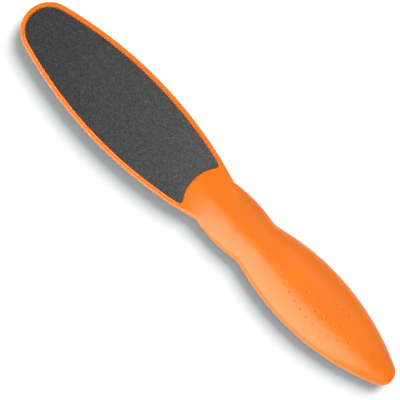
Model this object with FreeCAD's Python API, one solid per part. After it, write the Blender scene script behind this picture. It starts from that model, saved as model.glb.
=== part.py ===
import FreeCAD, Part
import math
import os

# Two-sided foot file, in millimetres. X runs along the tool, from the blade's tip to the grip's end.
# The shapes are drawn about the notch, where the blade's rear face meets the grip: x = 0 there, and
# z = 0 is the middle of the thickness. They are moved to the part's own origin when they are saved.

# Blade, seen from above
BLADE_WIDTH = 38.6
TIP_TO_WIDEST = 60.7
WIDEST_TO_NOTCH = 54.6
TIP_RADIUS = 12.8
NOTCH_WIDTH = 23.3

# Blade, through its thickness
RIM_THICKNESS = 6.4
RIM_WIDTH = 2.1
EDGE_ROUND = 0.75
POCKET_DEPTH = 1.2
LIP_WIDTH = 0.4
LIP_HEIGHT = 0.2
LIP_ROUND = 0.15

# Tongue between the pocket and the notch
TONGUE_SETBACK = 13.1
TONGUE_RADIUS = 17.1
POCKET_CORNER_RADIUS = 1.5

# Abrasive sheets
SHEET_GAP = 0.45
FILM_THICKNESS = 0.2
BACKING_THICKNESS = 0.4
COARSE_GRIT_THICKNESS = 0.45
FINE_GRIT_THICKNESS = 0.3

# Grip, seen from above
GRIP_LENGTH = 109.7
GRIP_SETBACK = 0.1
NECK_BULGE = 1.2
NECK_BULGE_AT = 12.0
BELLY_WIDTH = 32.0
BELLY_AT = 58.0
BELLY_FRONT_RADIUS = 110.0
WAIST_BLEND = 1.0
END_RADIUS = 6.1

# Grip, through its thickness
NOTCH_THICKNESS = 8.8
BELLY_THICKNESS = 14.8
END_EDGE_RADIUS = 3.5
FAIRING_LENGTH = 12.0

# Tang inside the grip
TANG_THICKNESS = 4.0
TANG_ROOT = 4.0
TANG_END_GAP = 12.0
TANG_NECK_WIDTH = 14.0
TANG_NECK_LENGTH = 27.0
TANG_BELLY_WIDTH = 23.0
TANG_END_WIDTH = 11.0
WINDOW_WIDTH = 6.0
WINDOW_LENGTH = 13.0
WINDOW_PITCH = 19.0
FIRST_WINDOW_AT = 12.0

# Pits in the grip: a curl of arcs that swing from side to side of the tool's axis. Each arc is
# given by where it starts, swings widest and ends along X, and by how far it swings.
PIT_RADIUS = 0.5
PIT_DEPTH = 0.45
PIT_PITCH = 4.1
PIT_AXIS_OFFSET = 0.55
PIT_ARCS = (
    (28.9, 65.5, 88.0, -7.8),
    (88.0, 71.8, 55.5, 6.2),
    (55.5, 65.9, 76.3, -3.0),
    (76.3, 70.7, 65.0, 2.2),
)

# Smoothness of the grip's surface
BODY_SECTIONS = 28
NOSE_ANGLES = (20.0, 42.0, 60.0, 75.0, 86.0)

MIDDLE = FreeCAD.Vector(0, 0, 0)
UP = FreeCAD.Vector(0, 0, 1)


def nose_side_radius(half, reach, nose):
    """Radius of the side arc that falls from a half size to a round nose within a reach."""
    return (reach ** 2 - 2 * reach * nose + half ** 2) / (2 * (half - nose))


def nose_start(half, reach, nose):
    """Distance from the widest station at which the side arc runs into the round nose."""
    side = nose_side_radius(half, reach, nose)
    return (reach - nose) * side / (side - nose)


def tapered_half(distance, half, reach, nose):
    """Half size at a distance from the widest station, on the side arc or on the nose."""
    if distance <= nose_start(half, reach, nose):
        side = nose_side_radius(half, reach, nose)
        return half - side + math.sqrt(side ** 2 - distance ** 2)
    return math.sqrt(max(nose ** 2 - (distance - reach + nose) ** 2, 0.0))


def smooth_larger(first, second, blend):
    """The larger of two values, with a round passage where they are equal."""
    return (first + second + math.sqrt((first - second) ** 2 + blend ** 2)) / 2


def grip_half_width(x):
    """Half width of the handle's form: a bulged neck that flares into the belly."""
    if x > BELLY_AT:
        return tapered_half(x - BELLY_AT, BELLY_WIDTH / 2, GRIP_LENGTH - BELLY_AT, END_RADIUS)
    start = NOTCH_WIDTH / 2 - GRIP_SETBACK
    neck = start + NECK_BULGE * (1 - (x / NECK_BULGE_AT - 1) ** 2)
    belly = BELLY_WIDTH / 2 - (BELLY_AT - x) ** 2 / (2 * BELLY_FRONT_RADIUS)
    return smooth_larger(neck, belly, WAIST_BLEND)


def grip_half_thickness(x):
    """Half thickness of the handle's form: it rises from the notch to the belly and falls to the end."""
    belly = BELLY_THICKNESS / 2
    if x > BELLY_AT:
        return tapered_half(x - BELLY_AT, belly, GRIP_LENGTH - BELLY_AT, END_EDGE_RADIUS)
    return belly - (belly - NOTCH_THICKNESS / 2) * ((BELLY_AT - x) / BELLY_AT) ** 2


def grip_section(x):
    """Elliptic outline across the handle's form."""
    centre = FreeCAD.Vector(x, 0, 0)
    side = FreeCAD.Vector(x, grip_half_width(x), 0)
    crest = FreeCAD.Vector(x, 0, grip_half_thickness(x))
    return Part.Wire(Part.Ellipse(side, crest, centre).toShape())


def handle_form():
    """Smooth form of the grip, with the fairing that runs forward into the blade."""
    body_end = BELLY_AT + nose_start(BELLY_WIDTH / 2, GRIP_LENGTH - BELLY_AT, END_RADIUS)
    step = (body_end + FAIRING_LENGTH) / (BODY_SECTIONS - 1)
    stations = [i * step - FAIRING_LENGTH for i in range(BODY_SECTIONS)]
    for angle in NOSE_ANGLES:
        stations.append(body_end + (GRIP_LENGTH - body_end) * math.sin(math.radians(angle)))
    sections = [grip_section(x) for x in stations]
    sections.append(Part.Vertex(FreeCAD.Vector(GRIP_LENGTH, 0, 0)))
    return Part.makeLoft(sections, True, False)


def half_space(side):
    """Block that holds everything on one side of the notch."""
    size = 4 * (GRIP_LENGTH + TIP_TO_WIDEST + WIDEST_TO_NOTCH)
    corner = FreeCAD.Vector(min(side, 0) * size, -size / 2, -size / 2)
    return Part.makeBox(size, size, size, corner)


def blade_side_point(x, inset):
    """Point on the blade's side, moved in from the outer edge by the inset."""
    half = BLADE_WIDTH / 2
    if x < -WIDEST_TO_NOTCH:
        radius = nose_side_radius(half, TIP_TO_WIDEST, TIP_RADIUS)
    else:
        drop = half - NOTCH_WIDTH / 2
        radius = (WIDEST_TO_NOTCH ** 2 + drop ** 2) / (2 * drop)
    y = half - radius + math.sqrt((radius - inset) ** 2 - (x + WIDEST_TO_NOTCH) ** 2)
    return FreeCAD.Vector(x, y, 0)


def blade_plan(inset):
    """Flat face with the blade's outline, moved in from the outer edge by the inset."""
    tip = -WIDEST_TO_NOTCH - TIP_TO_WIDEST
    side = nose_side_radius(BLADE_WIDTH / 2, TIP_TO_WIDEST, TIP_RADIUS)
    run = nose_start(BLADE_WIDTH / 2, TIP_TO_WIDEST, TIP_RADIUS) * (side - inset) / side
    stations = (-WIDEST_TO_NOTCH - run, -WIDEST_TO_NOTCH - run / 2, -WIDEST_TO_NOTCH, -WIDEST_TO_NOTCH / 2, 0)
    left = [blade_side_point(x, inset) for x in stations]
    right = [FreeCAD.Vector(p.x, -p.y, 0) for p in left]
    edges = [
        Part.Arc(right[0], FreeCAD.Vector(tip + inset, 0, 0), left[0]),
        Part.Arc(left[0], left[1], left[2]),
        Part.Arc(left[2], left[3], left[4]),
        Part.LineSegment(left[4], right[4]),
        Part.Arc(right[4], right[3], right[2]),
        Part.Arc(right[2], right[1], right[0]),
    ]
    return Part.Face(Part.Wire([edge.toShape() for edge in edges]))


def prism(face, bottom, top):
    """Upright block on a flat face, from one level to another."""
    block = face.extrude(UP * (top - bottom))
    block.translate(UP * bottom)
    return block


def outer_edges(block, level):
    """Edges of a block that lie flat at a level, apart from the straight one at the notch."""
    flat = [e for e in block.Edges if all(abs(v.Z - level) < 1e-6 for v in e.Vertexes)]
    return [e for e in flat if not isinstance(e.Curve, Part.Line)]


def blade_plate():
    """Leaf-shaped plate with a rounded rim, before its pockets are sunk."""
    plate = prism(blade_plan(0), -RIM_THICKNESS / 2, RIM_THICKNESS / 2)
    rounded = outer_edges(plate, RIM_THICKNESS / 2) + outer_edges(plate, -RIM_THICKNESS / 2)
    return plate.makeFillet(EDGE_ROUND, rounded)


def pocket_block(growth, bottom, top):
    """Block with the pocket's outline, grown outwards, that ends in a hollow round the tongue."""
    block = prism(blade_plan(RIM_WIDTH - growth), bottom, top)
    axis = FreeCAD.Vector(TONGUE_RADIUS - TONGUE_SETBACK, 0, bottom)
    block = block.cut(Part.makeCylinder(TONGUE_RADIUS - growth, top - bottom, axis, UP))
    upright = [e for e in block.Edges if abs(e.Vertexes[0].Z - e.Vertexes[-1].Z) > 1e-6]
    rear = max(e.CenterOfMass.x for e in upright)
    corners = [e for e in upright if rear - e.CenterOfMass.x < 1e-3]
    return block.makeFillet(POCKET_CORNER_RADIUS + growth, corners)


def pocket():
    """Everything that is taken out of the front face for one abrasive sheet."""
    face = RIM_THICKNESS / 2
    return pocket_block(0, face - POCKET_DEPTH, face + LIP_HEIGHT)


def pocket_lip():
    """Raised lip with rounded edges round the pocket in the front face."""
    face = RIM_THICKNESS / 2
    top = face + LIP_HEIGHT
    lip = pocket_block(LIP_WIDTH, face - POCKET_DEPTH, top).cut(pocket())
    return lip.makeFillet(LIP_ROUND, outer_edges(lip, top))


def tang():
    """Flat tang with windows that the grip's material fills."""
    end = GRIP_LENGTH - TANG_END_GAP
    stations = (
        (-TANG_ROOT, TANG_NECK_WIDTH / 2),
        (TANG_NECK_LENGTH, TANG_NECK_WIDTH / 2),
        (BELLY_AT, TANG_BELLY_WIDTH / 2),
        (end, TANG_END_WIDTH / 2),
    )
    left = [FreeCAD.Vector(x, y, 0) for x, y in stations]
    right = [FreeCAD.Vector(x, -y, 0) for x, y in reversed(stations)]
    outline = Part.makePolygon(left + right + left[:1])
    bar = prism(Part.Face(outline), -TANG_THICKNESS / 2, TANG_THICKNESS / 2)
    count = int((end - FIRST_WINDOW_AT) / WINDOW_PITCH)
    for i in range(count):
        corner = FreeCAD.Vector(FIRST_WINDOW_AT + i * WINDOW_PITCH, -WINDOW_WIDTH / 2, -TANG_THICKNESS / 2)
        bar = bar.cut(Part.makeBox(WINDOW_LENGTH, WINDOW_WIDTH, TANG_THICKNESS, corner))
    return bar


def both_faces(shape):
    """A shape of the front face together with its twin on the rear face."""
    return [shape, shape.mirror(MIDDLE, UP)]


def blade_core(form):
    """Rigid moulding: plate, fairing, pockets with lips, and tang."""
    core = blade_plate().fuse(form.common(half_space(-1)))
    core = core.cut(both_faces(pocket()))
    core = core.fuse(both_faces(pocket_lip()))
    return core.fuse(tang())


def pit_points():
    """Places of the pits along the curl, on the front face."""
    points = []
    for start, widest, end, swing in PIT_ARCS:
        lean = math.log(0.5) / math.log((widest - start) / (end - start))
        count = round(abs(end - start) / PIT_PITCH)
        for i in range(count):
            share = i / count
            x = start + share * (end - start)
            y = PIT_AXIS_OFFSET + swing * math.sin(math.pi * share ** lean)
            rise = math.sqrt(1 - (y / grip_half_width(x)) ** 2)
            points.append(FreeCAD.Vector(x, y, grip_half_thickness(x) * rise))
    return points


def pit(point, side):
    """Round pit sunk at a point of the front face, or at its twin when the tool is turned over."""
    floor = FreeCAD.Vector(point.x, side * point.y, side * (point.z - PIT_DEPTH))
    return Part.makeCylinder(PIT_RADIUS, 2 * PIT_DEPTH + PIT_RADIUS, floor, UP * side)


def grip_sleeve(form):
    """Soft sleeve that is moulded round the tang and through its windows."""
    sleeve = form.common(half_space(1)).cut(tang())
    return sleeve.cut([pit(point, side) for point in pit_points() for side in (1, -1)])


def sheet_layers(grit_thickness):
    """Adhesive film, backing and grain coat of one sheet, stacked from the pocket's floor."""
    level = RIM_THICKNESS / 2 - POCKET_DEPTH
    layers = []
    for thickness in (FILM_THICKNESS, BACKING_THICKNESS, grit_thickness):
        layers.append(pocket_block(-SHEET_GAP, level, level + thickness))
        level += thickness
    return layers


def all_pieces():
    """Every piece of the tool by its node name."""
    form = handle_form()
    pieces = {"blade_core": blade_core(form), "grip_sleeve": grip_sleeve(form)}
    coarse = sheet_layers(COARSE_GRIT_THICKNESS)
    fine = [layer.mirror(MIDDLE, UP) for layer in sheet_layers(FINE_GRIT_THICKNESS)]
    for name, front, rear in zip(("film", "backing", "grit"), coarse, fine):
        pieces["coarse_" + name] = front
        pieces["fine_" + name] = rear
    return pieces


# The origin lies under the middle of the tool's length, on the surface that the belly rests on.
TO_ORIGIN = FreeCAD.Vector((TIP_TO_WIDEST + WIDEST_TO_NOTCH - GRIP_LENGTH) / 2, 0, BELLY_THICKNESS / 2)

os.makedirs("parts", exist_ok=True)
for node, shape in all_pieces().items():
    placed = shape.copy()
    placed.translate(TO_ORIGIN)
    placed.exportStep("parts/" + node + ".step")
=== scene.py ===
"""Looks of a two-sided foot file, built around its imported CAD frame.

The shapes are drawn in millimetres about the notch where blade and grip meet: x runs from the
blade's tip to the grip's end, y across the tool and z through its thickness, with z = 0 halfway.
MeshDraft moves them to the frame's own origin and to metres.
"""
import logging
import math
import random
from dataclasses import dataclass
from enum import Enum
from typing import Callable, Sequence

import bmesh
import bpy
from mathutils import Matrix, Vector
from mathutils.geometry import delaunay_2d_cdt


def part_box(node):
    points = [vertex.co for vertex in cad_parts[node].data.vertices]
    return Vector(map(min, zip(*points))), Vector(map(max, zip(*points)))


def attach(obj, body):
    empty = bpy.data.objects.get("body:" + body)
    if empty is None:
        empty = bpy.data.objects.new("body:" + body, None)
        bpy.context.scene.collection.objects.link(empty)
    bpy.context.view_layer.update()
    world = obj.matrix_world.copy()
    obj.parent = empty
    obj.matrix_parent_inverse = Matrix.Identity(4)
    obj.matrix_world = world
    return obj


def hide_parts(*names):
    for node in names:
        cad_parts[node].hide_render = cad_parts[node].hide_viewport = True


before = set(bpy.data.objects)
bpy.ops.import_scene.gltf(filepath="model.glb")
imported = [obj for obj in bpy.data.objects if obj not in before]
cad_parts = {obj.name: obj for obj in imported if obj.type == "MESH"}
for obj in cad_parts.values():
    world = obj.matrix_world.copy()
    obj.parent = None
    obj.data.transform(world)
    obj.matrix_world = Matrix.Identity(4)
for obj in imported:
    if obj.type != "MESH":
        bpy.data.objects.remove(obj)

LOG = logging.getLogger("foot_file")
MM = 0.001
# Ways of delaunay_2d_cdt: keep what lies inside the outline, and join points closer than this
INSIDE_ONLY = 1
JOIN_WITHIN = 1e-6
# Power per square metre that gives an area lamp a radiance of 1
LAMP_POWER = 4.0
Point2 = tuple[float, float]
Point3 = tuple[float, float, float]


class BladeSide(Enum):
    """The two working faces of the blade, by the sign of their z."""

    FRONT = 1
    REAR = -1


class Glow(Enum):
    """What a lamp gives to the surfaces that it lights."""

    SHEEN = "only its mirror image in glossy surfaces"
    WASH = "only plain, scattered light"


def smooth_larger(first: float, second: float, blend: float) -> float:
    """The larger of two values, with a round passage where they are equal."""
    return (first + second + math.sqrt((first - second) ** 2 + blend ** 2)) / 2


def arc_points(centre: Point2, radius: float, start: float, end: float, steps: int) -> list[Point2]:
    """Points along an arc, both ends included.

    Args:
        centre: Centre of the arc.
        radius: Radius of the arc.
        start: First angle, in radians from the x axis.
        end: Last angle.
        steps: Number of equal steps between them.

    Returns:
        One point more than there are steps.
    """
    angles = (start + (end - start) * i / steps for i in range(steps + 1))
    return [(centre[0] + radius * math.cos(a), centre[1] + radius * math.sin(a)) for a in angles]


@dataclass(frozen=True)
class Taper:
    """A side arc that falls from the widest station and ends in a round nose."""

    half: float
    reach: float
    nose: float

    @property
    def side_radius(self) -> float:
        """Radius of the side arc."""
        return (self.reach ** 2 - 2 * self.reach * self.nose + self.half ** 2) / (2 * (self.half - self.nose))

    @property
    def nose_start(self) -> float:
        """Distance from the widest station at which the nose begins."""
        side = self.side_radius
        return (self.reach - self.nose) * side / (side - self.nose)

    def half_at(self, distance: float) -> float:
        """Half size at a station between the widest one and the nose.

        Args:
            distance: Distance from the widest station.

        Returns:
            The half size, on the side arc or on the nose.
        """
        if distance <= self.nose_start:
            side = self.side_radius
            return self.half - side + math.sqrt(side ** 2 - distance ** 2)
        return math.sqrt(max(self.nose ** 2 - (distance - self.reach + self.nose) ** 2, 0.0))


class MeshDraft:
    """Collects the points and faces of one piece and turns them into a Blender object."""

    def __init__(self, origin: Point3) -> None:
        """Starts an empty draft.

        Args:
            origin: Point of the frame at which the draft's zero lies.
        """
        self.origin = origin
        self.points: list[Point3] = []
        self.faces: list[tuple[int, ...]] = []

    def add(self, points: Sequence[Point3]) -> list[int]:
        """Adds points to the draft.

        Args:
            points: The new points.

        Returns:
            Their numbers.
        """
        first = len(self.points)
        self.points.extend(points)
        return list(range(first, len(self.points)))

    def bridge(self, lower: Sequence[int], upper: Sequence[int], closed: bool) -> None:
        """Joins two rows of equal length with four-sided faces.

        Args:
            lower: Numbers of the first row.
            upper: Numbers of the second row.
            closed: Whether the rows run round and meet themselves.
        """
        count = len(lower)
        for i in range(count if closed else count - 1):
            k = (i + 1) % count
            self.faces.append((lower[i], lower[k], upper[k], upper[i]))

    def fill(self, loop: Sequence[int]) -> None:
        """Closes a loop of points with one face."""
        self.faces.append(tuple(loop))

    def fan(self, loop: Sequence[int], apex: int) -> None:
        """Joins a closed loop to one point."""
        for i in range(len(loop)):
            self.faces.append((loop[i], loop[(i + 1) % len(loop)], apex))

    def patch(
        self, loop: Sequence[int], inner: Sequence[Point2], height: Callable[[float, float], float]
    ) -> None:
        """Fills a flat loop with triangles over inner points, each lifted to a height.

        Args:
            loop: Numbers of the points on the edge, in order.
            inner: Points inside the edge.
            height: Level of the surface at a point.
        """
        edge = [Vector(self.points[i][:2]) for i in loop]
        flat = edge + [Vector(p) for p in inner]
        count = len(edge)
        rim = [(i, (i + 1) % count) for i in range(count)]
        field = [list(range(count))]
        made, _, faces, origins, _, _ = delaunay_2d_cdt(flat, rim, field, INSIDE_ONLY, JOIN_WITHIN)
        numbers = []
        for point, sources in zip(made, origins):
            old = [s for s in sources if s < count]
            if old:
                numbers.append(loop[old[0]])
            else:
                numbers += self.add([(point.x, point.y, height(point.x, point.y))])
        for face in faces:
            self.faces.append(tuple(numbers[i] for i in face))

    def piece(self, name: str, crease: float | None) -> bpy.types.Object:
        """Makes the object, with outward faces.

        Args:
            name: Name of the piece.
            crease: Angle in degrees above which an edge stays sharp, or None for flat faces.

        Returns:
            The new object, linked to the scene and riding on the tool.
        """
        move = Vector(self.origin)
        mesh = bpy.data.meshes.new(name)
        mesh.from_pydata([(Vector(p) + move) * MM for p in self.points], [], self.faces)
        work = bmesh.new()
        work.from_mesh(mesh)
        bmesh.ops.recalc_face_normals(work, faces=work.faces)
        work.to_mesh(mesh)
        work.free()
        if crease is not None:
            mesh.shade_smooth()
            mesh.set_sharp_from_angle(angle=math.radians(crease))
        made = bpy.data.objects.new(name, mesh)
        bpy.context.scene.collection.objects.link(made)
        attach(made, "root")
        made.visible_diffuse = False
        return made


def new_group(name: str, inputs: dict[str, float], outputs: dict[str, str]) -> bpy.types.NodeTree:
    """Starts a shader node group with named sockets.

    Args:
        name: Name of the group.
        inputs: Default of each number that goes in.
        outputs: Socket type of each result.

    Returns:
        The group, with its input and output nodes in place.
    """
    group = bpy.data.node_groups.new(name, "ShaderNodeTree")
    for label, value in inputs.items():
        socket = group.interface.new_socket(label, in_out="INPUT", socket_type="NodeSocketFloat")
        socket.default_value = value
    for label, kind in outputs.items():
        group.interface.new_socket(label, in_out="OUTPUT", socket_type=kind)
    group.nodes.new("NodeGroupInput")
    group.nodes.new("NodeGroupOutput")
    return group


class EffectLibrary:
    """Node groups that more than one finish uses."""

    def __init__(self) -> None:
        """Builds each group once."""
        self.mould_skin = self._mould_skin()
        self.grain_speckle = self._grain_speckle()

    @staticmethod
    def _mould_skin() -> bpy.types.NodeTree:
        """Skin of a moulded surface: fine erosion texture, faint cloudiness and uneven sheen.

        Returns:
            The group.
        """
        group = new_group(
            "mould_skin",
            {"Texture Scale": 2500.0, "Cloud Scale": 60.0, "Sheen Low": 0.34, "Sheen High": 0.44},
            {"Cloud": "NodeSocketFloat", "Roughness": "NodeSocketFloat", "Height": "NodeSocketFloat"},
        )
        nodes, links = group.nodes, group.links
        start, end = nodes["Group Input"], nodes["Group Output"]
        place = nodes.new("ShaderNodeTexCoord")
        fine = nodes.new("ShaderNodeTexNoise")
        fine.inputs["Detail"].default_value = 3.0
        cloud = nodes.new("ShaderNodeTexNoise")
        cloud.inputs["Detail"].default_value = 4.0
        sheen = nodes.new("ShaderNodeMapRange")
        sheen.inputs["From Min"].default_value = 0.3
        sheen.inputs["From Max"].default_value = 0.7
        for texture, scale in ((fine, "Texture Scale"), (cloud, "Cloud Scale")):
            links.new(place.outputs["Object"], texture.inputs["Vector"])
            links.new(start.outputs[scale], texture.inputs["Scale"])
        links.new(cloud.outputs["Fac"], sheen.inputs["Value"])
        links.new(start.outputs["Sheen Low"], sheen.inputs["To Min"])
        links.new(start.outputs["Sheen High"], sheen.inputs["To Max"])
        links.new(cloud.outputs["Fac"], end.inputs["Cloud"])
        links.new(sheen.outputs["Result"], end.inputs["Roughness"])
        links.new(fine.outputs["Fac"], end.inputs["Height"])
        return group

    @staticmethod
    def _grain_speckle() -> bpy.types.NodeTree:
        """Tone of single grains, with a sparse scatter of brighter ones that carry a painted glint, and their
        fine facets.

        Returns:
            The group.
        """
        group = new_group(
            "grain_speckle",
            {"Grain Scale": 1600.0, "Bright Share": 0.12},
            {"Tone": "NodeSocketFloat", "Bright": "NodeSocketFloat", "Height": "NodeSocketFloat"},
        )
        nodes, links = group.nodes, group.links
        start, end = nodes["Group Input"], nodes["Group Output"]
        place = nodes.new("ShaderNodeTexCoord")
        cell = nodes.new("ShaderNodeTexVoronoi")
        split = nodes.new("ShaderNodeSeparateColor")
        limit = nodes.new("ShaderNodeMath")
        limit.operation = "SUBTRACT"
        limit.inputs[0].default_value = 1.0
        # Mask of the sparse grains that get the painted glint colour in place of their own tone
        bright = nodes.new("ShaderNodeMath")
        bright.operation = "GREATER_THAN"
        links.new(place.outputs["Object"], cell.inputs["Vector"])
        links.new(start.outputs["Grain Scale"], cell.inputs["Scale"])
        links.new(cell.outputs["Color"], split.inputs["Color"])
        links.new(start.outputs["Bright Share"], limit.inputs[1])
        links.new(split.outputs["Green"], bright.inputs[0])
        links.new(limit.outputs["Value"], bright.inputs[1])
        links.new(split.outputs["Red"], end.inputs["Tone"])
        links.new(bright.outputs["Value"], end.inputs["Bright"])
        links.new(cell.outputs["Distance"], end.inputs["Height"])
        return group


def new_material(name: str) -> tuple[bpy.types.Material, bpy.types.ShaderNode]:
    """Starts a material with nodes.

    Args:
        name: Name of the material.

    Returns:
        The material and its Principled shader.
    """
    material = bpy.data.materials.new(name)
    material.use_nodes = True
    return material, material.node_tree.nodes["Principled BSDF"]


def colour_ramp(
    nodes: bpy.types.Nodes, stops: Sequence[tuple[float, Sequence[float]]]
) -> bpy.types.ShaderNode:
    """Adds a colour ramp.

    Args:
        nodes: Nodes of the material.
        stops: Place and colour of each stop.

    Returns:
        The ramp's node.
    """
    ramp = nodes.new("ShaderNodeValToRGB")
    elements = ramp.color_ramp.elements
    while len(elements) < len(stops):
        elements.new(0.5)
    for element, (place, colour) in zip(elements, stops):
        element.position = place
        element.color = (*colour, 1.0)
    return ramp


def cover(piece: bpy.types.Object, material: bpy.types.Material) -> None:
    """Gives a piece one material in place of whatever it has."""
    piece.data.materials.clear()
    piece.data.materials.append(material)


@dataclass(frozen=True)
class MouldedFinish:
    """Through-coloured moulded plastic or soft plastic with a satin skin."""

    name: str
    deep: tuple[float, float, float]
    light: tuple[float, float, float]
    texture_scale: float
    cloud_scale: float
    sheen_low: float
    sheen_high: float
    bump: float
    bump_distance: float

    def material(self, effects: EffectLibrary) -> bpy.types.Material:
        """Builds the finish's material from the shared mould skin.

        Args:
            effects: The shared node groups.

        Returns:
            The material.
        """
        material, shader = new_material(self.name)
        nodes, links = material.node_tree.nodes, material.node_tree.links
        skin = nodes.new("ShaderNodeGroup")
        skin.node_tree = effects.mould_skin
        skin.inputs["Texture Scale"].default_value = self.texture_scale
        skin.inputs["Cloud Scale"].default_value = self.cloud_scale
        skin.inputs["Sheen Low"].default_value = self.sheen_low
        skin.inputs["Sheen High"].default_value = self.sheen_high
        ramp = colour_ramp(nodes, ((0.3, self.deep), (0.7, self.light)))
        bump = nodes.new("ShaderNodeBump")
        bump.inputs["Strength"].default_value = self.bump
        bump.inputs["Distance"].default_value = self.bump_distance
        links.new(skin.outputs["Cloud"], ramp.inputs["Fac"])
        links.new(ramp.outputs["Color"], shader.inputs["Base Color"])
        links.new(skin.outputs["Roughness"], shader.inputs["Roughness"])
        links.new(skin.outputs["Height"], bump.inputs["Height"])
        links.new(bump.outputs["Normal"], shader.inputs["Normal"])
        return material


@dataclass(frozen=True)
class GrainFinish:
    """Dark mineral grains set in resin, with a painted glint on a sparse share of them."""

    name: str
    dark: tuple[float, float, float]
    pale: tuple[float, float, float]
    # Colour of the sparse bright grains: partly their own lighter tone, partly a painted glint standing in
    # for light caught by grain facets
    painted_glint: tuple[float, float, float]
    grain_scale: float
    bright_share: float
    roughness: float
    bump: float = 0.5
    bump_distance: float = 0.0001

    def material(self, effects: EffectLibrary) -> bpy.types.Material:
        """Builds the finish's material from the shared grain speckle.

        Args:
            effects: The shared node groups.

        Returns:
            The material.
        """
        material, shader = new_material(self.name)
        nodes, links = material.node_tree.nodes, material.node_tree.links
        speckle = nodes.new("ShaderNodeGroup")
        speckle.node_tree = effects.grain_speckle
        speckle.inputs["Grain Scale"].default_value = self.grain_scale
        speckle.inputs["Bright Share"].default_value = self.bright_share
        ramp = colour_ramp(nodes, ((0.0, self.dark), (1.0, self.pale)))
        # Mixes the painted glint colour into the grain tone where the bright mask is set
        mix = nodes.new("ShaderNodeMix")
        mix.data_type = "RGBA"
        mix.inputs["B"].default_value = (*self.painted_glint, 1.0)
        bump = nodes.new("ShaderNodeBump")
        bump.inputs["Strength"].default_value = self.bump
        bump.inputs["Distance"].default_value = self.bump_distance
        links.new(speckle.outputs["Tone"], ramp.inputs["Fac"])
        links.new(speckle.outputs["Bright"], mix.inputs["Factor"])
        links.new(ramp.outputs["Color"], mix.inputs["A"])
        links.new(mix.outputs["Result"], shader.inputs["Base Color"])
        links.new(speckle.outputs["Height"], bump.inputs["Height"])
        links.new(bump.outputs["Normal"], shader.inputs["Normal"])
        shader.inputs["Roughness"].default_value = self.roughness
        return material


@dataclass(frozen=True)
class FibreFinish:
    """Matt sheet with fibres or streaks, for the backing paper and the adhesive film."""

    name: str
    dark: tuple[float, float, float]
    pale: tuple[float, float, float]
    fibre_scale: float
    roughness: float
    detail: float = 5.0
    distortion: float = 1.5

    def material(self) -> bpy.types.Material:
        """Builds the sheet's material.

        Returns:
            The material.
        """
        material, shader = new_material(self.name)
        nodes, links = material.node_tree.nodes, material.node_tree.links
        place = nodes.new("ShaderNodeTexCoord")
        fibre = nodes.new("ShaderNodeTexNoise")
        fibre.inputs["Scale"].default_value = self.fibre_scale
        fibre.inputs["Detail"].default_value = self.detail
        fibre.inputs["Distortion"].default_value = self.distortion
        ramp = colour_ramp(nodes, ((0.3, self.dark), (0.7, self.pale)))
        links.new(place.outputs["Object"], fibre.inputs["Vector"])
        links.new(fibre.outputs["Fac"], ramp.inputs["Fac"])
        links.new(ramp.outputs["Color"], shader.inputs["Base Color"])
        shader.inputs["Roughness"].default_value = self.roughness
        return material


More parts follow.
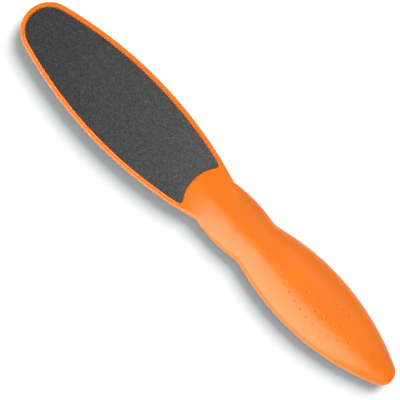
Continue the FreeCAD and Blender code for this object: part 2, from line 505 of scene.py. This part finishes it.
@dataclass(frozen=True)
class BladePlan:
    """Outline of the blade and of the pockets in it, seen from above."""

    width: float = 38.6
    tip_to_widest: float = 60.7
    widest_to_notch: float = 54.6
    tip_radius: float = 12.8
    notch_width: float = 23.3
    rim_width: float = 2.1
    tongue_setback: float = 13.1
    tongue_radius: float = 17.1
    corner_radius: float = 1.5
    notch_steps: int = 14
    rear_steps: int = 56
    front_steps: int = 56
    nose_steps: int = 44
    corner_steps: int = 8
    tongue_steps: int = 44

    @property
    def taper(self) -> Taper:
        """Fall of the outline from its widest station to the tip."""
        return Taper(self.width / 2, self.tip_to_widest, self.tip_radius)

    @property
    def rear_radius(self) -> float:
        """Radius of the side between the widest station and the notch."""
        drop = (self.width - self.notch_width) / 2
        return (self.widest_to_notch ** 2 + drop ** 2) / (2 * drop)

    @property
    def rear_centre(self) -> Point2:
        """Centre of the left rear side arc."""
        return (-self.widest_to_notch, self.width / 2 - self.rear_radius)

    @property
    def tongue_centre(self) -> Point2:
        """Centre of the tongue's convex front."""
        return (self.tongue_radius - self.tongue_setback, 0.0)

    @property
    def corner_centre(self) -> Point2:
        """Centre of the pocket's left rear corner, touching both the side and the tongue.

        Returns:
            The centre, seen from above.
        """
        side = self.rear_radius - self.rim_width - self.corner_radius
        tongue = self.tongue_radius + self.corner_radius
        start = Vector(self.rear_centre)
        run = Vector(self.tongue_centre) - start
        along = (side ** 2 - tongue ** 2 + run.length ** 2) / (2 * run.length)
        across = math.sqrt(side ** 2 - along ** 2)
        way = run.normalized()
        corner = start + way * along + Vector((-way.y, way.x)) * across
        return (corner.x, corner.y)

    def side(self, inset: float) -> list[Point2]:
        """Outline of the blade, moved in from its outer edge.

        Args:
            inset: How far it is moved in.

        Returns:
            Points from the notch on the left round the tip to the notch on the right.
        """
        half, rear = self.width / 2, self.rear_radius
        corner, centre = self.corner_centre, self.rear_centre
        at_notch = math.acos(self.widest_to_notch / (rear - inset))
        at_corner = math.atan2(corner[1] - centre[1], corner[0] - centre[0])
        quarter = math.pi / 2
        left = arc_points(centre, rear - inset, at_notch, at_corner, self.notch_steps)[:-1]
        left += arc_points(centre, rear - inset, at_corner, quarter, self.rear_steps)[:-1]
        front = self.taper.side_radius
        at_nose = quarter + math.asin(self.taper.nose_start / front)
        front_centre = (-self.widest_to_notch, half - front)
        left += arc_points(front_centre, front - inset, quarter, at_nose, self.front_steps)[:-1]
        nose_centre = (self.tip_radius - self.tip_to_widest - self.widest_to_notch, 0.0)
        radius = self.tip_radius - inset
        nose = arc_points(nose_centre, radius, at_nose, 2 * math.pi - at_nose, self.nose_steps)
        return left + nose + [(x, -y) for x, y in reversed(left)]

    @property
    def corner_index(self) -> int:
        """Place along the side at which the pocket's corner leaves it."""
        return self.notch_steps

    def rear_half(self, x: float, inset: float) -> float:
        """Half width between the widest station and the notch, moved in by the inset."""
        centre = self.rear_centre
        return centre[1] + math.sqrt((self.rear_radius - inset) ** 2 - (x - centre[0]) ** 2)

    def tongue_line(self, growth: float) -> list[Point2]:
        """Pocket's edge round the tongue.

        Args:
            growth: How far the pocket is grown outwards.

        Returns:
            Points from the left side to the right, without those on the sides.
        """
        corner, centre, tongue = self.corner_centre, self.rear_centre, self.tongue_centre
        leave = math.atan2(corner[1] - centre[1], corner[0] - centre[0])
        meet = math.atan2(tongue[1] - corner[1], tongue[0] - corner[0])
        turn = arc_points(corner, self.corner_radius + growth, leave, meet, self.corner_steps)[1:]
        first = math.pi + meet
        radius = self.tongue_radius - growth
        front = arc_points(tongue, radius, first, 2 * math.pi - first, self.tongue_steps)
        back = [(x, -y) for x, y in reversed(turn)]
        return turn[:-1] + front + back[1:]

    def pocket_loop(self, growth: float) -> list[Point2]:
        """Closed outline of the pocket.

        Args:
            growth: How far the pocket is grown outwards.

        Returns:
            Points along the side first, then round the tongue.
        """
        side = self.side(self.rim_width - growth)
        corner = self.corner_index
        return side[corner:len(side) - corner] + list(reversed(self.tongue_line(growth)))


@dataclass(frozen=True)
class GripForm:
    """Smooth form of the grip, which also runs forward into the blade as a fairing."""

    length: float = 109.7
    setback: float = 0.1
    notch_width: float = 23.3
    neck_bulge: float = 1.2
    neck_bulge_at: float = 12.0
    belly_width: float = 32.0
    belly_at: float = 58.0
    belly_front_radius: float = 110.0
    waist_blend: float = 1.0
    end_radius: float = 6.1
    notch_thickness: float = 8.8
    belly_thickness: float = 14.8
    end_edge_radius: float = 3.5
    notch_fullness: float = 5.0
    fullness_reach: float = 8.0
    notch_fall: float = 0.273
    fall_reach: float = 16.0
    ridge_round: float = 0.2
    ridge_share: float = 0.87

    @staticmethod
    def fade(x: float, reach: float) -> float:
        """Share of the blade's own section that is left at a station, none past the reach."""
        share = min(max(x / reach, 0.0), 1.0)
        return 1 - share * share * (3 - 2 * share)

    def ridge(self, share: float) -> float:
        """Fall of a rounded ridge, from 0 in the middle to 1 at the full half width."""
        soft = self.ridge_round
        return (math.hypot(share, soft) - soft) / (math.hypot(1.0, soft) - soft)

    def section(self, x: float, share: float) -> float:
        """Height of the section across the form.

        Args:
            x: Station.
            share: Share of the half width, 0 in the middle and 1 at the side.

        Returns:
            Height as a share of the half thickness.
        """
        power = 2 + self.notch_fullness * self.fade(x, self.fullness_reach)
        fall = self.ridge(min(share / self.ridge_share, 1.0))
        crest = 1 - self.notch_fall * self.fade(x, self.fall_reach) * fall
        return crest * max(1 - share ** power, 0.0) ** (1 / power)

    def half_width(self, x: float) -> float:
        """Half width of the form.

        Args:
            x: Station.

        Returns:
            Half width at that station.
        """
        if x > self.belly_at:
            taper = Taper(self.belly_width / 2, self.length - self.belly_at, self.end_radius)
            return taper.half_at(x - self.belly_at)
        start = self.notch_width / 2 - self.setback
        neck = start + self.neck_bulge * (1 - (x / self.neck_bulge_at - 1) ** 2)
        belly = self.belly_width / 2 - (self.belly_at - x) ** 2 / (2 * self.belly_front_radius)
        return smooth_larger(neck, belly, self.waist_blend)

    def half_thickness(self, x: float) -> float:
        """Half thickness of the form.

        Args:
            x: Station.

        Returns:
            Half thickness at that station.
        """
        belly = self.belly_thickness / 2
        if x > self.belly_at:
            taper = Taper(belly, self.length - self.belly_at, self.end_edge_radius)
            return taper.half_at(x - self.belly_at)
        return belly - (belly - self.notch_thickness / 2) * ((self.belly_at - x) / self.belly_at) ** 2

    def level(self, x: float, y: float) -> float:
        """Height of the form's upper surface over the middle, at a point seen from above."""
        share = min(abs(y) / max(self.half_width(x), 1e-9), 1.0)
        return self.half_thickness(x) * self.section(x, share)


@dataclass
class Blade:
    """Rigid blade: rounded rim, lipped pockets and a tongue that swells towards the grip."""

    plan: BladePlan
    form: GripForm
    origin: Point3
    finish: MouldedFinish
    rim_thickness: float = 6.4
    edge_round: float = 0.75
    notch_edge_width: float = 1.6
    notch_edge_height: float = 2.4
    edge_growth: float = 14.0
    edge_steps: int = 8
    pocket_depth: float = 1.2
    lip_width: float = 0.4
    lip_height: float = 0.2
    lip_edge: float = 0.05
    lip_steps: int = 6
    witness_line: float = 0.04
    witness_height: float = 0.12
    patch_pitch: float = 0.6
    patch_margin: float = 0.6
    crease: float = 32.0

    def build(self) -> bpy.types.Object:
        """Makes the blade's mesh and puts it in place of its CAD solid.

        Returns:
            The blade.
        """
        draft = MeshDraft(self.origin)
        middle = draft.add([(x, y, 0.0) for x, y in self.plan.side(self.witness_line)])
        ends = [self._half(draft, middle, side) for side in BladeSide]
        draft.fill(ends[0] + list(reversed(ends[1]))[1:-1])
        piece = draft.piece("blade", self.crease)
        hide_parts("blade_core")
        return piece

    def dress(self, piece: bpy.types.Object, effects: EffectLibrary) -> None:
        """Gives the blade its finish."""
        cover(piece, self.finish.material(effects))

    def _half(self, draft: MeshDraft, middle: list[int], side: BladeSide) -> list[int]:
        """Builds the blade from its middle to one face.

        Args:
            draft: Draft that takes the points.
            middle: Row round the middle of the thickness.
            side: Face to build.

        Returns:
            The row of points round the flat rear end, from left to right.
        """
        sign, face = side.value, self.rim_thickness / 2
        rows = [middle]
        for row in self._edge_rows(face):
            rows.append(draft.add([(x, y, sign * z) for x, y, z in row]))
            draft.bridge(rows[-2], rows[-1], False)
        corner = self.plan.corner_index
        side_part = rows[-1][corner:len(rows[-1]) - corner]
        tongue = [(x, y, sign * face) for x, y in self.plan.tongue_line(self.lip_width)]
        tongue_row = draft.add(tongue)
        loop = side_part + list(reversed(tongue_row))
        for growth, level in self._lip_profile(face):
            ring = draft.add([(x, y, sign * level) for x, y in self.plan.pocket_loop(growth)])
            draft.bridge(loop, ring, True)
            loop = ring
        draft.fill(loop)
        rear = self._tongue_patch(draft, rows[-1], tongue_row, sign, face)
        left = [row[0] for row in rows]
        right = [row[-1] for row in reversed(rows)]
        return left + rear + right

    def _edge_size(self, x: float) -> Point2:
        """Size of the rounded edge, which grows towards the notch.

        Args:
            x: Station.

        Returns:
            Width and height of the edge.
        """
        share = min(max(1 + x / self.edge_growth, 0.0), 1.0)
        grown = share * share * (3 - 2 * share)
        width = self.edge_round + (self.notch_edge_width - self.edge_round) * grown
        return (width, self.edge_round + (self.notch_edge_height - self.edge_round) * grown)

    def _edge_profile(self, x: float, face: float) -> list[Point2]:
        """Profile from the middle over the rounded edge to the lip's foot.

        Args:
            x: Station.
            face: Level of the rim.

        Returns:
            Inset and level of each row.
        """
        width, height = self._edge_size(x)
        straight = face - height
        rows = [(0.0, self.witness_height), (0.0, straight / 2)]
        for i in range(self.edge_steps + 1):
            angle = math.pi / 2 * i / self.edge_steps
            rows.append((width * (1 - math.cos(angle)), straight + height * math.sin(angle)))
        return rows + [(self.plan.rim_width - self.lip_width, face)]

    def _edge_rows(self, face: float) -> list[list[Point3]]:
        """Rows along the whole side, from the middle over the rounded edge to the lip's foot.

        Args:
            face: Level of the rim.

        Returns:
            The points of each row.
        """
        reach = self.plan.rim_width - self.lip_width
        columns = []
        for (x0, y0), (x1, y1) in zip(self.plan.side(0.0), self.plan.side(reach)):
            column = []
            for inset, level in self._edge_profile(x0, face):
                x, y = x0 + (x1 - x0) * inset / reach, y0 + (y1 - y0) * inset / reach
                column.append((x, y, level + self._crown(x, y, face)))
            columns.append(column)
        return [list(row) for row in zip(*columns)]

    def _lip_profile(self, face: float) -> list[Point2]:
        """Profile over the lip and down to the pocket's floor.

        Args:
            face: Level of the rim.

        Returns:
            Growth and level of each row.
        """
        rows = []
        top = face + self.lip_height
        for i in range(1, self.lip_steps + 1):
            share = i / self.lip_steps
            growth = self.lip_width + (self.lip_edge - self.lip_width) * share
            rows.append((growth, face + self.lip_height * math.sin(math.pi / 2 * share)))
        for i in range(1, self.lip_steps + 1):
            angle = math.pi / 2 * i / self.lip_steps
            growth = self.lip_edge * (1 - math.sin(angle))
            rows.append((growth, top - self.lip_edge * (1 - math.cos(angle))))
        floor = face - self.pocket_depth
        return rows + [(0.0, (face + floor) / 2), (0.0, floor)]

    def _tongue_patch(
        self, draft: MeshDraft, foot: list[int], tongue: list[int], sign: int, face: float
    ) -> list[int]:
        """Closes the field between lip and notch, with the fairing that swells out of it.

        Args:
            draft: Draft that takes the points.
            foot: Row along the lip's foot, from the notch round the tip to the notch.
            tongue: Row along the lip's foot round the tongue.
            sign: Sign of the face's z.
            face: Level of the rim.

        Returns:
            The points across the rear end between the two ends of the foot row.
        """
        def height(x: float, y: float) -> float:
            """Level of the tongue's surface at a point."""
            return sign * (face + self._crown(x, y, face))

        corner = self.plan.corner_index
        half = draft.points[foot[0]][1]
        across = int(2 * half / self.patch_pitch)
        ys = [half - 2 * half * i / across for i in range(1, across)]
        rear = draft.add([(0.0, y, height(0.0, y)) for y in ys])
        left = list(reversed(foot[:corner + 1]))
        right = list(reversed(foot[len(foot) - corner - 1:]))
        loop = left + rear + right + list(reversed(tongue))
        draft.patch(loop, self._patch_points(draft, loop), height)
        return rear

    def _crown(self, x: float, y: float, face: float) -> float:
        """Rise of the tongue over the rim, from nothing at its front to the grip's height at the notch.

        Args:
            x: Station.
            y: Place across the blade.
            face: Level of the rim.

        Returns:
            The rise at that point.
        """
        plan = self.plan
        reach = plan.tongue_radius - self.lip_width
        front = plan.tongue_centre[0] - math.sqrt(max(reach ** 2 - y ** 2, 0.0))
        share = min(max(1 - x / front, 0.0), 1.0) if front < 0 else 0.0
        half = plan.rear_half(x, self._edge_size(x)[0])
        across = min(abs(y) / half, 1.0)
        return (self.form.half_thickness(0.0) - face) * share * (1 - self.form.ridge(across))

    def _patch_points(self, draft: MeshDraft, loop: list[int]) -> list[Point2]:
        """Even points inside the tongue's field, clear of its edge.

        Args:
            draft: Draft that holds the edge.
            loop: Numbers of the points on the edge.

        Returns:
            The points, seen from above.
        """
        edge = [Vector(draft.points[i][:2]) for i in loop]
        pitch = self.patch_pitch
        inner = []
        rows = int(self.plan.tongue_setback / pitch)
        for i in range(1, rows + 1):
            x = -i * pitch
            reach = int(self.plan.notch_width / pitch)
            for k in range(-reach, reach + 1):
                point = Vector((x, (k + 0.5 * (i % 2)) * pitch))
                if inside(point, edge) and min((point - e).length for e in edge) > self.patch_margin * pitch:
                    inner.append((point.x, point.y))
        return inner


def inside(point: Vector, edge: Sequence[Vector]) -> bool:
    """Whether a point lies inside a closed outline.

    Args:
        point: The point, seen from above.
        edge: Corners of the outline, in order.

    Returns:
        True when it lies inside.
    """
    odd = False
    for i, start in enumerate(edge):
        end = edge[i - 1]
        if (start.y > point.y) != (end.y > point.y):
            cut = start.x + (point.y - start.y) * (end.x - start.x) / (end.y - start.y)
            odd = odd != (point.x < cut)
    return odd


@dataclass
class Grip:
    """Soft sleeve with a curl of round pits on both faces."""

    form: GripForm
    origin: Point3
    finish: MouldedFinish
    rings: int = 138
    around: int = 96
    nose_rings: int = 14
    crease: float = 40.0
    pit_radius: float = 0.4
    pit_depth: float = 0.28
    pit_pitch: float = 4.1
    pit_axis_offset: float = 0.55
    pit_profile: tuple[Point2, ...] = ((1.35, 0.0), (1.1, 0.06), (0.95, 0.3), (0.75, 0.65), (0.4, 0.93))
    pit_arcs: tuple[tuple[float, float, float, float], ...] = (
        (28.9, 65.5, 88.0, -7.8),
        (88.0, 71.8, 55.5, 6.2),
        (55.5, 65.9, 76.3, -3.0),
        (76.3, 70.7, 65.0, 2.2),
    )

    def build(self) -> bpy.types.Object:
        """Makes the grip's mesh and puts it in place of its CAD solid.

        Returns:
            The grip.
        """
        draft = MeshDraft(self.origin)
        stations = self._stations()
        grid = [draft.add(self._ring(x)) for x in stations]
        holes = self._pit_cells(stations)
        gone = {cell for hole in holes for cell in hole[1]}
        for i in range(len(grid) - 1):
            for k in range(self.around):
                if (i, k) not in gone:
                    n = (k + 1) % self.around
                    draft.faces.append((grid[i][k], grid[i][n], grid[i + 1][n], grid[i + 1][k]))
        draft.fan(grid[-1], draft.add([(self.form.length, 0.0, 0.0)])[0])
        draft.fill(list(reversed(grid[0])))
        for centre, cells, sign in holes:
            self._sink_pit(draft, grid, centre, cells, sign)
        piece = draft.piece("grip", self.crease)
        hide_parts("grip_sleeve")
        return piece

    def dress(self, piece: bpy.types.Object, effects: EffectLibrary) -> None:
        """Gives the grip its finish."""
        cover(piece, self.finish.material(effects))

    def _stations(self) -> list[float]:
        """Stations of the rings: even ones from the notch on, and a closing nose.

        Returns:
            The stations, in order.
        """
        body = self.form.length - self.form.end_radius / 2
        even = [body * i / self.rings for i in range(self.rings)]
        nose = []
        for i in range(self.nose_rings):
            nose.append(body + (self.form.length - body) * math.sin(math.pi / 2 * i / self.nose_rings))
        return even + nose

    def _ring(self, x: float) -> list[Point3]:
        """One ring of points round the grip.

        Args:
            x: Station.

        Returns:
            The points, once round.
        """
        width, thickness = self.form.half_width(x), self.form.half_thickness(x)
        points = []
        for k in range(self.around):
            turn = 2 * math.pi * k / self.around
            across, up = math.cos(turn), math.sin(turn)
            height = thickness * self.form.section(x, abs(across))
            points.append((x, width * across, math.copysign(height, up)))
        return points

    def _pit_places(self) -> list[Point2]:
        """Places of the pits along the curl, on the front face.

        Returns:
            The places, seen from above.
        """
        places = []
        for start, peak, end, swing in self.pit_arcs:
            lean = math.log(0.5) / math.log((peak - start) / (end - start))
            count = round(abs(end - start) / self.pit_pitch)
            for i in range(count):
                share = i / count
                y = self.pit_axis_offset + swing * math.sin(math.pi * share ** lean)
                places.append((start + share * (end - start), y))
        return places

    def _pit_cells(self, stations: list[float]) -> list[tuple[Point2, list[tuple[int, int]], int]]:
        """Cells of the grid that the pits take.

        Args:
            stations: Stations of the rings.

        Returns:
            For each pit its place, its nine cells and the sign of its face.
        """
        holes = []
        for side in BladeSide:
            sign = side.value
            for x, y in self._pit_places():
                ring = max(i for i, station in enumerate(stations) if station <= x)
                turn = sign * math.acos(sign * y / self.form.half_width(x))
                column = int(turn / (2 * math.pi) * self.around // 1)
                cells = [(ring + i, (column + k) % self.around) for i in (-1, 0, 1) for k in (-1, 0, 1)]
                holes.append(((x, sign * y), cells, sign))
        return holes

    def _sink_pit(
        self,
        draft: MeshDraft,
        grid: list[list[int]],
        centre: Point2,
        cells: list[tuple[int, int]],
        sign: int,
    ) -> None:
        """Fills the gap that a pit's cells leave with a rounded hollow.

        Args:
            draft: Draft that takes the points.
            grid: Numbers of the grip's points, ring by ring.
            centre: Place of the pit.
            cells: The nine cells that the pit takes.
            sign: Sign of the face's z.
        """
        first, column = cells[0]
        n = self.around
        loop = [grid[first][(column + k) % n] for k in range(4)]
        loop += [grid[first + i][(column + 3) % n] for i in (1, 2, 3)]
        loop += [grid[first + 3][(column + k) % n] for k in (2, 1, 0)]
        loop += [grid[first + i][column % n] for i in (2, 1)]
        turns = []
        for number in loop:
            x, y, _ = draft.points[number]
            turns.append(math.atan2(y - centre[1], x - centre[0]))
        row = loop
        for radius, depth in self.pit_profile:
            ring = []
            for a in turns:
                x = centre[0] + radius * self.pit_radius * math.cos(a)
                y = centre[1] + radius * self.pit_radius * math.sin(a)
                ring.append((x, y, sign * (self.form.level(x, y) - depth * self.pit_depth)))
            numbers = draft.add(ring)
            draft.bridge(row, numbers, True)
            row = numbers
        bottom = sign * (self.form.level(*centre) - self.pit_depth)
        draft.fan(row, draft.add([(centre[0], centre[1], bottom)])[0])


@dataclass
class GrainCoat:
    """Layer of abrasive grains on one face of the blade."""

    plan: BladePlan
    origin: Point3
    finish: GrainFinish
    side: BladeSide
    node: str
    slot: str
    bottom: float
    thickness: float
    grain_pitch: float
    grain_rise: float
    seed: int
    sheet_gap: float = 0.45
    peak_share: float = 0.65
    edge_margin: float = 0.5
    rear_margin: float = 0.5
    row_share: float = 0.87
    scatter: float = 0.32

    def build(self) -> bpy.types.Object:
        """Makes a coat of facets, one peak or hollow for each grain, in place of its CAD slab.

        Returns:
            The coat.
        """
        draw = random.Random(self.seed)
        draft = MeshDraft(self.origin)
        sign = self.side.value
        outline = self.plan.pocket_loop(-self.sheet_gap)
        top = self.bottom + self.thickness
        under = draft.add([(x, y, sign * self.bottom) for x, y in outline])
        over = draft.add([(x, y, sign * (top - self.grain_rise * draw.random())) for x, y in outline])
        draft.bridge(under, over, True)
        draft.fill(list(reversed(under)))

        def height(_x: float, _y: float) -> float:
            """Level of the next grain's peak or hollow."""
            return sign * (top + self.grain_rise * (draw.random() - self.peak_share))

        draft.patch(over, self._grain_points(draw), height)
        piece = draft.piece(self.node + "_grains", None)
        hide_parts(self.node)
        return piece

    def dress(self, piece: bpy.types.Object, effects: EffectLibrary) -> None:
        """Gives the coat its finish."""
        cover(piece, self.finish.material(effects))

    def _grain_points(self, draw: random.Random) -> list[Point2]:
        """Scattered places of the grains inside the sheet's outline.

        Args:
            draw: Source of the scatter.

        Returns:
            The places, seen from above.
        """
        edge = self.plan.side(self.plan.rim_width + self.sheet_gap)
        tongue = self.plan.tongue_centre
        pitch = self.grain_pitch
        half = len(edge) // 2
        upper = sorted(edge[:half + 1])
        points = []
        x = upper[0][0] + pitch
        k = 0
        row = 0
        while x < -self.rear_margin:
            while k < len(upper) - 2 and upper[k + 1][0] < x:
                k += 1
            (x0, y0), (x1, y1) = upper[k], upper[k + 1]
            reach = y0 + (y1 - y0) * (x - x0) / max(x1 - x0, 1e-9) - self.edge_margin * pitch
            y = -reach + (row % 2) * pitch / 2
            while y < reach:
                px = x + draw.uniform(-self.scatter, self.scatter) * pitch
                py = y + draw.uniform(-self.scatter, self.scatter) * pitch
                clear = self.plan.tongue_radius + self.sheet_gap + self.edge_margin * pitch
                if math.hypot(px - tongue[0], py - tongue[1]) > clear and self._clear_of_corner(px, py):
                    points.append((px, py))
                y += pitch
            x += pitch * self.row_share
            row += 1
        return points

    def _clear_of_corner(self, x: float, y: float) -> bool:
        """Whether a grain keeps off the rounded rear corners.

        Args:
            x: Place along the blade.
            y: Place across it.

        Returns:
            True when it keeps off them.
        """
        corner = self.plan.corner_centre
        dx, dy = x - corner[0], abs(y) - corner[1]
        reach = self.plan.corner_radius - self.sheet_gap - self.edge_margin * self.grain_pitch
        return dx < 0 or math.hypot(dx, dy) < reach


@dataclass
class SheetLayer:
    """Backing paper or adhesive film under a coat of grains, which keeps its CAD shape."""

    node: str
    finish: FibreFinish

    def build(self) -> bpy.types.Object:
        """Takes the layer's solid out of the frame.

        Returns:
            The solid, which throws no coloured light on the others.
        """
        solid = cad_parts[self.node]
        solid.visible_diffuse = False
        return solid

    def dress(self, piece: bpy.types.Object, _effects: EffectLibrary) -> None:
        """Gives the layer its finish."""
        cover(piece, self.finish.material())


@dataclass(frozen=True)
class Lamp:
    """Soft rectangular lamp, placed by its direction from a point over the tool."""

    name: str
    azimuth: float
    zenith: float
    distance: float
    width: float
    height: float
    radiance: float
    glow: Glow

    def build(self, aim: Vector, lit: bpy.types.Collection) -> None:
        """Hangs the lamp, facing its aim.

        Args:
            aim: Point that the lamp faces, in metres.
            lit: The pieces that it lights.
        """
        lamp = bpy.data.lights.new(self.name, "AREA")
        lamp.shape = "RECTANGLE"
        lamp.size, lamp.size_y = self.width, self.height
        lamp.energy = LAMP_POWER * self.width * self.height * self.radiance
        lamp.cycles.use_multiple_importance_sampling = self.glow is Glow.SHEEN
        made = bpy.data.objects.new(self.name, lamp)
        turn, fall = math.radians(self.azimuth), math.radians(self.zenith)
        way = Vector((math.cos(turn) * math.sin(fall), math.sin(turn) * math.sin(fall), math.cos(fall)))
        facing = (-way).to_track_quat("-Z", "Y").to_matrix().to_4x4()
        made.matrix_world = Matrix.Translation(aim + way * self.distance) @ facing
        made.visible_glossy = self.glow is Glow.SHEEN
        made.visible_diffuse = self.glow is Glow.WASH
        made.light_linking.receiver_collection = lit
        bpy.context.scene.collection.objects.link(made)


@dataclass
class Studio:
    """Pale floor, soft lamps and the camera, all placed about the lying tool."""

    origin: Point3
    body: Sequence[bpy.types.Object]
    sheets: Sequence[bpy.types.Object]
    frame_mm: float = 173.9
    axis_angle: float = 45.68
    centre: Point2 = (-4.9, -4.35)
    camera_height: float = 500.0
    camera_tilt: float = 2.9
    surroundings: float = 0.03
    floor_half: float = 2.0
    floor_glow: float = 0.27
    body_lamps: tuple[Lamp, ...] = (
        Lamp("sheen_left", 262.0, 47.0, 0.7, 1.1, 1.06, 3.6, Glow.SHEEN),
        Lamp("sheen_low_left", 262.0, 80.0, 0.72, 0.7, 0.2, 1.2, Glow.SHEEN),
        Lamp("sheen_right", 75.0, 30.0, 0.6, 0.6, 0.3, 0.5, Glow.SHEEN),
        Lamp("sheen_low_right", 80.0, 62.0, 0.7, 1.3, 0.7, 0.4, Glow.SHEEN),
        Lamp("wash_top", 0.0, 0.0, 0.8, 2.6, 2.6, 0.91, Glow.WASH),
        Lamp("wash_left", 260.0, 72.0, 0.9, 0.9, 0.5, 3.0, Glow.WASH),
        Lamp("wash_right", 80.0, 72.0, 0.9, 0.9, 0.5, 0.45, Glow.WASH),
    )
    sheet_lamps: tuple[Lamp, ...] = (
        Lamp("sheet_soft", 90.0, 48.0, 0.7, 0.86, 0.8, 2.2, Glow.WASH),
        Lamp("sheet_near", 54.5, 31.7, 0.141, 0.08, 0.08, 9.6, Glow.WASH),
    )
    floor_lamps: tuple[Lamp, ...] = (
        Lamp("shadow_key", 90.0, 36.8, 1.6, 0.8, 1.0, 7.8, Glow.WASH),
        Lamp("shadow_soft", 90.0, 25.0, 1.6, 0.8, 1.48, 1.35, Glow.WASH),
    )

    def build(self) -> None:
        """Makes floor, lamps and camera."""
        scene = bpy.context.scene
        scene.view_settings.view_transform = "Standard"
        floor = self._floor()
        groups = (
            ("body", self.body, self.body_lamps),
            ("sheets", self.sheets, self.sheet_lamps),
            ("floor", [floor], self.floor_lamps),
        )
        for name, members, lamps in groups:
            lit = bpy.data.collections.new("lit_" + name)
            for member in members:
                lit.objects.link(member)
            for lamp in lamps:
                lamp.build(Vector((0.0, 0.0, self.origin[2] * MM)), lit)
        self._world()
        self._camera()

    def _floor(self) -> bpy.types.Object:
        """Makes the pale floor under the tool's belly.

        Returns:
            The floor.
        """
        half = self.floor_half
        mesh = bpy.data.meshes.new("floor")
        corners = [(-half, -half, 0), (half, -half, 0), (half, half, 0), (-half, half, 0)]
        mesh.from_pydata(corners, [], [(0, 1, 2, 3)])
        floor = bpy.data.objects.new("floor", mesh)
        bpy.context.scene.collection.objects.link(floor)
        material, shader = new_material("pale_floor")
        shader.inputs["Base Color"].default_value = (0.93, 0.93, 0.93, 1.0)
        shader.inputs["Roughness"].default_value = 0.9
        shader.inputs["Specular IOR Level"].default_value = 0.0
        shader.inputs["Emission Color"].default_value = (0.95, 1.0, 1.0, 1.0)
        shader.inputs["Emission Strength"].default_value = self.floor_glow
        mesh.materials.append(material)
        return floor

    def _world(self) -> None:
        """Even white surroundings, dim as a light and plain white to the camera."""
        world = bpy.data.worlds.new("surroundings")
        world.use_nodes = True
        nodes, links = world.node_tree.nodes, world.node_tree.links
        sky = nodes["Background"]
        sky.inputs["Color"].default_value = (1.0, 1.0, 1.0, 1.0)
        path = nodes.new("ShaderNodeLightPath")
        strength = nodes.new("ShaderNodeMapRange")
        strength.inputs["To Min"].default_value = self.surroundings
        links.new(path.outputs["Is Camera Ray"], strength.inputs["Value"])
        links.new(strength.outputs["Result"], sky.inputs["Strength"])
        bpy.context.scene.world = world

    def _camera(self) -> None:
        """Sets the camera above, tilted a little and turned so that the tool lies on the diagonal."""
        data = bpy.data.cameras.new("camera")
        data.sensor_width = 36.0
        data.lens = data.sensor_width * self.camera_height / self.frame_mm
        camera = bpy.data.objects.new("camera", data)
        turn = Matrix.Rotation(math.radians(self.axis_angle), 4, "Z")
        tilt = Matrix.Rotation(math.radians(self.camera_tilt), 4, "X")
        stand = Matrix.Translation(Vector((*self.centre, self.camera_height)) * MM)
        camera.matrix_world = Matrix.Translation(Vector(self.origin) * MM) @ tilt @ stand @ turn
        bpy.context.scene.collection.objects.link(camera)
        bpy.context.scene.camera = camera


def main() -> None:
    """Builds the tool's pieces, dresses them and sets the studio."""
    logging.basicConfig(level=logging.INFO, format="%(name)s: %(message)s")
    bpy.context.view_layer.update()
    plan, form = BladePlan(), GripForm()
    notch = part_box("grip_sleeve")[0].x / MM
    origin = (notch, 0.0, form.belly_thickness / 2)
    effects = EffectLibrary()
    orange = {"deep": (0.90, 0.186, 0.006), "light": (0.94, 0.2, 0.008)}
    satin = {"sheen_low": 0.26, "sheen_high": 0.29}
    blade_finish = MouldedFinish(
        "blade_satin",
        texture_scale=6000.0,
        cloud_scale=45.0,
        bump=0.06,
        bump_distance=0.00003,
        **orange,
        **satin,
    )
    grip_finish = MouldedFinish(
        "grip_soft_touch",
        texture_scale=3200.0,
        cloud_scale=38.0,
        bump=0.1,
        bump_distance=0.00005,
        **orange,
        **satin,
    )
    coarse_finish = GrainFinish(
        "coarse_grains",
        dark=(0.047, 0.0466, 0.0482),
        pale=(0.083, 0.0825, 0.0848),
        # Painted glint: the lighter colour of a sparse share of coarse grains, standing in for light caught
        # by their facets
        painted_glint=(0.1, 0.1, 0.102),
        grain_scale=2000.0,
        bright_share=0.03,
        roughness=0.55,
    )
    fine_finish = GrainFinish(
        "fine_grains",
        dark=(0.07, 0.068, 0.07),
        pale=(0.13, 0.127, 0.13),
        # Painted glint: the lighter colour of a sparse share of fine grains, standing in for light caught by
        # their facets
        painted_glint=(0.24, 0.24, 0.24),
        grain_scale=2600.0,
        bright_share=0.08,
        roughness=0.6,
    )
    paper = FibreFinish(
        "backing_paper", (0.035, 0.033, 0.033), (0.06, 0.057, 0.055), fibre_scale=900.0, roughness=0.85
    )
    film = FibreFinish(
        "adhesive_film", (0.55, 0.53, 0.47), (0.68, 0.66, 0.6), fibre_scale=300.0, roughness=0.4
    )
    grains = {"bottom": 2.6, "grain_pitch": 0.32}
    coarse = {"slot": "coarse_grain", "thickness": 0.45, "grain_rise": 0.08, "seed": 11}
    fine = {"slot": "fine_grain", "thickness": 0.3, "grain_rise": 0.09, "seed": 12}
    makers = (
        Blade(plan, form, origin, blade_finish),
        Grip(form, origin, grip_finish),
        GrainCoat(plan, origin, coarse_finish, BladeSide.FRONT, "coarse_grit", **coarse, **grains),
        GrainCoat(plan, origin, fine_finish, BladeSide.REAR, "fine_grit", **fine, **grains),
        SheetLayer("coarse_backing", paper),
        SheetLayer("fine_backing", paper),
        SheetLayer("coarse_film", film),
        SheetLayer("fine_film", film),
    )
    body, sheets = [], []
    for maker in makers:
        piece = maker.build()
        maker.dress(piece, effects)
        (body if isinstance(maker, (Blade, Grip)) else sheets).append(piece)
        LOG.info("%s: %d faces", piece.name, len(piece.data.polygons))
    Studio(origin, body, sheets).build()


if __name__ == "__main__":
    main()
